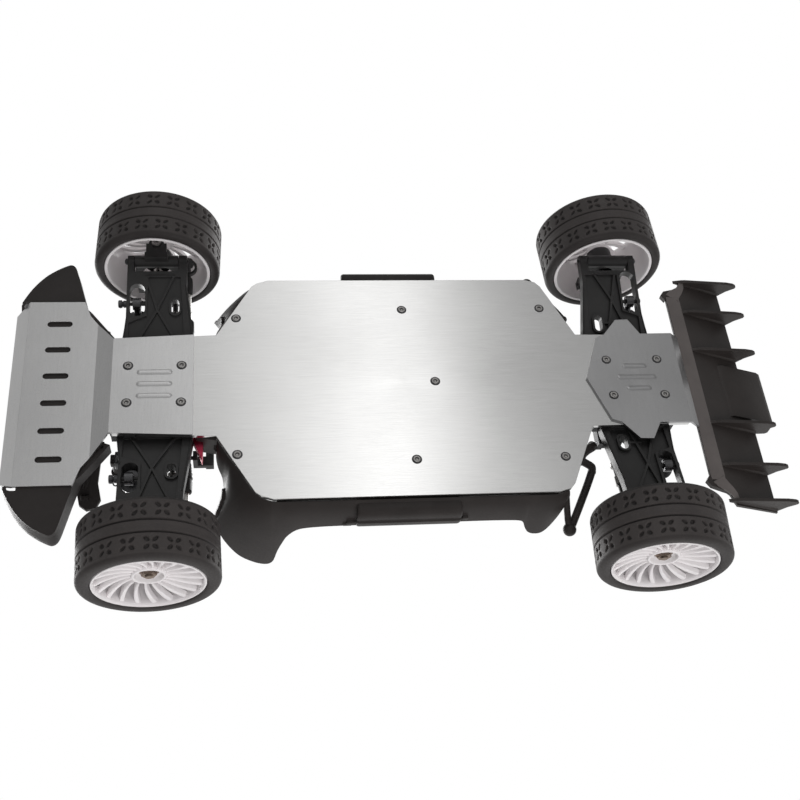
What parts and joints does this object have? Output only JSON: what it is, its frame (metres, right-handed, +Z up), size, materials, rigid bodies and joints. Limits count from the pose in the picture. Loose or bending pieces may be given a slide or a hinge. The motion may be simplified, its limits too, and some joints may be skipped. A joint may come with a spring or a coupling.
{
  "type": "radio-control drift car chassis",
  "caption": "Bodyless radio-control drift car: aluminium chassis, ribbed wishbone suspension, steered front wheels, tyres on vaned rims, side guards, front splitter and finned rear diffuser.",
  "frame": {"origin": "under the middle of the car's bounding box, on the ground plane the tyres touch", "axes": "+X forward, +Y to the car's left, +Z up"},
  "size_m": [0.608, 0.3226, 0.15],
  "materials": {
    "chassis_aluminium": "satin, lightly brushed",
    "skid_aluminium": "satin, lightly scratched",
    "guard_plastic": "moulded, fine grain",
    "case_plastic": "moulded, fine grain",
    "tower_composite": "composite sheet",
    "motor_metal": "anodised can",
    "battery_wrap": "shrink wrap, plain",
    "steel": "plated",
    "arm_plastic": "glass-filled nylon",
    "tyre": "moulded rubber",
    "wheel_plastic": "white moulded",
    "shock_anodised": "anodised",
    "spring_steel": "bright wire",
    "rack_aluminium": "satin"
  },
  "bodies": {
    "chassis": {"chassis_plate": "chassis_aluminium", "front_skid_plate": "skid_aluminium", "rear_skid_plate": "skid_aluminium", "left_side_guard": "guard_plastic", "right_side_guard": "guard_plastic", "front_splitter": "guard_plastic", "rear_diffuser": "guard_plastic", "front_gearbox": "case_plastic", "rear_gearbox": "case_plastic", "front_shock_tower": "tower_composite", "rear_shock_tower": "tower_composite", "center_mount": "case_plastic", "motor": "motor_metal", "speed_controller": "case_plastic", "battery_pack": "battery_wrap", "steering_servo": "case_plastic", "body_stays": "guard_plastic", "fasteners": "steel"},
    "front_left_arm": {"front_left_arm": "arm_plastic"},
    "front_left_link": {"front_left_link": "arm_plastic"},
    "front_left_hub_carrier": {"front_left_hub_carrier": "arm_plastic"},
    "front_left_wheel": {"front_left_tyre": "tyre", "front_left_rim": "wheel_plastic"},
    "front_left_shock_body": {"front_left_shock_body": "shock_anodised"},
    "front_left_shock_rod": {"front_left_shock_rod": "spring_steel", "front_left_spring": "spring_steel"},
    "front_left_driveshaft": {"front_left_driveshaft": "steel"},
    "left_knuckle": {"left_knuckle": "arm_plastic"},
    "front_right_arm": {"front_right_arm": "arm_plastic"},
    "front_right_link": {"front_right_link": "arm_plastic"},
    "front_right_hub_carrier": {"front_right_hub_carrier": "arm_plastic"},
    "front_right_wheel": {"front_right_tyre": "tyre", "front_right_rim": "wheel_plastic"},
    "front_right_shock_body": {"front_right_shock_body": "shock_anodised"},
    "front_right_shock_rod": {"front_right_shock_rod": "spring_steel", "front_right_spring": "spring_steel"},
    "front_right_driveshaft": {"front_right_driveshaft": "steel"},
    "right_knuckle": {"right_knuckle": "arm_plastic"},
    "rear_left_arm": {"rear_left_arm": "arm_plastic"},
    "rear_left_link": {"rear_left_link": "arm_plastic"},
    "rear_left_hub_carrier": {"rear_left_hub_carrier": "arm_plastic"},
    "rear_left_wheel": {"rear_left_tyre": "tyre", "rear_left_rim": "wheel_plastic"},
    "rear_left_shock_body": {"rear_left_shock_body": "shock_anodised"},
    "rear_left_shock_rod": {"rear_left_shock_rod": "spring_steel", "rear_left_spring": "spring_steel"},
    "rear_left_driveshaft": {"rear_left_driveshaft": "steel"},
    "rear_right_arm": {"rear_right_arm": "arm_plastic"},
    "rear_right_link": {"rear_right_link": "arm_plastic"},
    "rear_right_hub_carrier": {"rear_right_hub_carrier": "arm_plastic"},
    "rear_right_wheel": {"rear_right_tyre": "tyre", "rear_right_rim": "wheel_plastic"},
    "rear_right_shock_body": {"rear_right_shock_body": "shock_anodised"},
    "rear_right_shock_rod": {"rear_right_shock_rod": "spring_steel", "rear_right_spring": "spring_steel"},
    "rear_right_driveshaft": {"rear_right_driveshaft": "steel"},
    "steering_rack": {"steering_rack": "rack_aluminium"},
    "left_tie_rod": {"left_tie_rod": "rack_aluminium"},
    "right_tie_rod": {"right_tie_rod": "rack_aluminium"},
    "driveline": {"driveline": "steel"}
  },
  "joints": [
    {"name": "front_left_suspension", "type": "hinge", "parent": "chassis", "child": "front_left_arm", "pos_m": [0.196, 0.034, 0.053], "axis": [1, 0, 0], "range_deg": [0, 18], "stiffness_Nm_per_rad": 4, "springref_deg": -5.73},
    {"name": "front_left_link_hinge", "type": "hinge", "parent": "chassis", "child": "front_left_link", "pos_m": [0.183, 0.034, 0.085], "axis": [1, 0, 0], "range_deg": [0, 18.5]},
    {"name": "front_left_carrier_hinge", "type": "hinge", "parent": "front_left_arm", "child": "front_left_hub_carrier", "pos_m": [0.196, 0.115, 0.037], "axis": [1, 0, 0], "range_deg": [-18.5, 0]},
    {"name": "front_left_shock_hinge", "type": "hinge", "parent": "chassis", "child": "front_left_shock_body", "pos_m": [0.211, 0.05, 0.118], "axis": [1, 0, 0], "range_deg": [0, 6]},
    {"name": "front_left_shock_stroke", "type": "slide", "parent": "front_left_shock_body", "child": "front_left_shock_rod", "axis": [0, -0.3567, 0.9342], "range_m": [0, 0.0132], "deforming": ["front_left_spring"]},
    {"name": "front_left_driveshaft_swing", "type": "hinge", "parent": "chassis", "child": "front_left_driveshaft", "pos_m": [0.196, 0.03, 0.064], "axis": [1, 0, 0], "range_deg": [0, 16.5]},
    {"name": "steering", "type": "hinge", "parent": "front_left_hub_carrier", "child": "left_knuckle", "pos_m": [0.196, 0.126, 0.05], "axis": [0, 0, 1], "range_deg": [-25, 25]},
    {"name": "front_left_wheel_spin", "type": "hinge", "parent": "left_knuckle", "child": "front_left_wheel", "pos_m": [0.19563, 0.13649, 0.05], "axis": [-0.0349, 0.9994, 0], "continuous": true},
    {"name": "front_right_suspension", "type": "hinge", "parent": "chassis", "child": "front_right_arm", "pos_m": [0.196, -0.034, 0.053], "axis": [-1, 0, 0], "range_deg": [0, 18], "stiffness_Nm_per_rad": 4, "springref_deg": -5.73},
    {"name": "front_right_link_hinge", "type": "hinge", "parent": "chassis", "child": "front_right_link", "pos_m": [0.183, -0.034, 0.085], "axis": [-1, 0, 0], "range_deg": [0, 18.5]},
    {"name": "front_right_carrier_hinge", "type": "hinge", "parent": "front_right_arm", "child": "front_right_hub_carrier", "pos_m": [0.196, -0.115, 0.037], "axis": [-1, 0, 0], "range_deg": [-18.5, 0]},
    {"name": "front_right_shock_hinge", "type": "hinge", "parent": "chassis", "child": "front_right_shock_body", "pos_m": [0.211, -0.05, 0.118], "axis": [-1, 0, 0], "range_deg": [0, 6]},
    {"name": "front_right_shock_stroke", "type": "slide", "parent": "front_right_shock_body", "child": "front_right_shock_rod", "axis": [0, 0.3567, 0.9342], "range_m": [0, 0.0132], "deforming": ["front_right_spring"]},
    {"name": "front_right_driveshaft_swing", "type": "hinge", "parent": "chassis", "child": "front_right_driveshaft", "pos_m": [0.196, -0.03, 0.064], "axis": [-1, 0, 0], "range_deg": [0, 16.5]},
    {"name": "right_kingpin", "type": "hinge", "parent": "front_right_hub_carrier", "child": "right_knuckle", "pos_m": [0.196, -0.126, 0.05], "axis": [0, 0, 1], "range_deg": [-25, 25]},
    {"name": "front_right_wheel_spin", "type": "hinge", "parent": "right_knuckle", "child": "front_right_wheel", "pos_m": [0.19563, -0.13649, 0.05], "axis": [0.0349, 0.9994, 0], "continuous": true},
    {"name": "rear_left_suspension", "type": "hinge", "parent": "chassis", "child": "rear_left_arm", "pos_m": [-0.177, 0.034, 0.053], "axis": [1, 0, 0], "range_deg": [0, 18], "stiffness_Nm_per_rad": 4, "springref_deg": -5.73},
    {"name": "rear_left_link_hinge", "type": "hinge", "parent": "chassis", "child": "rear_left_link", "pos_m": [-0.164, 0.034, 0.085], "axis": [1, 0, 0], "range_deg": [0, 18.5]},
    {"name": "rear_left_carrier_hinge", "type": "hinge", "parent": "rear_left_arm", "child": "rear_left_hub_carrier", "pos_m": [-0.177, 0.115, 0.037], "axis": [1, 0, 0], "range_deg": [-18.5, 0]},
    {"name": "rear_left_shock_hinge", "type": "hinge", "parent": "chassis", "child": "rear_left_shock_body", "pos_m": [-0.192, 0.05, 0.118], "axis": [1, 0, 0], "range_deg": [0, 6]},
    {"name": "rear_left_shock_stroke", "type": "slide", "parent": "rear_left_shock_body", "child": "rear_left_shock_rod", "axis": [0, -0.3567, 0.9342], "range_m": [0, 0.0132], "deforming": ["rear_left_spring"]},
    {"name": "rear_left_driveshaft_swing", "type": "hinge", "parent": "chassis", "child": "rear_left_driveshaft", "pos_m": [-0.177, 0.03, 0.064], "axis": [1, 0, 0], "range_deg": [0, 16.5]},
    {"name": "rear_left_wheel_spin", "type": "hinge", "parent": "rear_left_hub_carrier", "child": "rear_left_wheel", "pos_m": [-0.17654, 0.13649, 0.05], "axis": [0.0436, 0.999, 0], "continuous": true},
    {"name": "rear_right_suspension", "type": "hinge", "parent": "chassis", "child": "rear_right_arm", "pos_m": [-0.177, -0.034, 0.053], "axis": [-1, 0, 0], "range_deg": [0, 18], "stiffness_Nm_per_rad": 4, "springref_deg": -5.73},
    {"name": "rear_right_link_hinge", "type": "hinge", "parent": "chassis", "child": "rear_right_link", "pos_m": [-0.164, -0.034, 0.085], "axis": [-1, 0, 0], "range_deg": [0, 18.5]},
    {"name": "rear_right_carrier_hinge", "type": "hinge", "parent": "rear_right_arm", "child": "rear_right_hub_carrier", "pos_m": [-0.177, -0.115, 0.037], "axis": [-1, 0, 0], "range_deg": [-18.5, 0]},
    {"name": "rear_right_shock_hinge", "type": "hinge", "parent": "chassis", "child": "rear_right_shock_body", "pos_m": [-0.192, -0.05, 0.118], "axis": [-1, 0, 0], "range_deg": [0, 6]},
    {"name": "rear_right_shock_stroke", "type": "slide", "parent": "rear_right_shock_body", "child": "rear_right_shock_rod", "axis": [0, 0.3567, 0.9342], "range_m": [0, 0.0132], "deforming": ["rear_right_spring"]},
    {"name": "rear_right_driveshaft_swing", "type": "hinge", "parent": "chassis", "child": "rear_right_driveshaft", "pos_m": [-0.177, -0.03, 0.064], "axis": [-1, 0, 0], "range_deg": [0, 16.5]},
    {"name": "rear_right_wheel_spin", "type": "hinge", "parent": "rear_right_hub_carrier", "child": "rear_right_wheel", "pos_m": [-0.17654, -0.13649, 0.05], "axis": [-0.0436, 0.999, 0], "continuous": true},
    {"name": "rack_slide", "type": "slide", "parent": "chassis", "child": "steering_rack", "axis": [0, 1, 0], "range_m": [-0.0105, 0.0105]},
    {"name": "left_tie_rod_hinge", "type": "hinge", "parent": "steering_rack", "child": "left_tie_rod", "pos_m": [0.172, 0.045, 0.075], "axis": [1, 0, 0], "range_deg": [0, 18.5]},
    {"name": "right_tie_rod_hinge", "type": "hinge", "parent": "steering_rack", "child": "right_tie_rod", "pos_m": [0.172, -0.045, 0.075], "axis": [-1, 0, 0], "range_deg": [0, 18.5]},
    {"name": "driveline_spin", "type": "hinge", "parent": "chassis", "child": "driveline", "pos_m": [-0.028, 0, 0.064], "axis": [1, 0, 0], "continuous": true}
  ],
  "couplings": [
    {"joint": "front_left_link_hinge", "follows": "front_left_suspension", "ratio": 1},
    {"joint": "front_left_carrier_hinge", "follows": "front_left_suspension", "ratio": -1},
    {"joint": "front_left_shock_hinge", "follows": "front_left_suspension", "ratio": 0.275},
    {"joint": "front_left_shock_stroke", "follows": "front_left_suspension", "m_per_rad": 0.04025},
    {"joint": "front_left_driveshaft_swing", "follows": "front_left_suspension", "ratio": 0.898},
    {"joint": "front_right_link_hinge", "follows": "front_right_suspension", "ratio": 1},
    {"joint": "front_right_carrier_hinge", "follows": "front_right_suspension", "ratio": -1},
    {"joint": "front_right_shock_hinge", "follows": "front_right_suspension", "ratio": 0.275},
    {"joint": "front_right_shock_stroke", "follows": "front_right_suspension", "m_per_rad": 0.04025},
    {"joint": "front_right_driveshaft_swing", "follows": "front_right_suspension", "ratio": 0.898},
    {"joint": "right_kingpin", "follows": "steering", "ratio": 1},
    {"joint": "rear_left_link_hinge", "follows": "rear_left_suspension", "ratio": 1},
    {"joint": "rear_left_carrier_hinge", "follows": "rear_left_suspension", "ratio": -1},
    {"joint": "rear_left_shock_hinge", "follows": "rear_left_suspension", "ratio": 0.275},
    {"joint": "rear_left_shock_stroke", "follows": "rear_left_suspension", "m_per_rad": 0.04025},
    {"joint": "rear_left_driveshaft_swing", "follows": "rear_left_suspension", "ratio": 0.898},
    {"joint": "rear_right_link_hinge", "follows": "rear_right_suspension", "ratio": 1},
    {"joint": "rear_right_carrier_hinge", "follows": "rear_right_suspension", "ratio": -1},
    {"joint": "rear_right_shock_hinge", "follows": "rear_right_suspension", "ratio": 0.275},
    {"joint": "rear_right_shock_stroke", "follows": "rear_right_suspension", "m_per_rad": 0.04025},
    {"joint": "rear_right_driveshaft_swing", "follows": "rear_right_suspension", "ratio": 0.898},
    {"joint": "rack_slide", "follows": "steering", "m_per_rad": -0.0238},
    {"joint": "left_tie_rod_hinge", "follows": "front_left_suspension", "ratio": 1},
    {"joint": "right_tie_rod_hinge", "follows": "front_right_suspension", "ratio": 1}
  ]
}
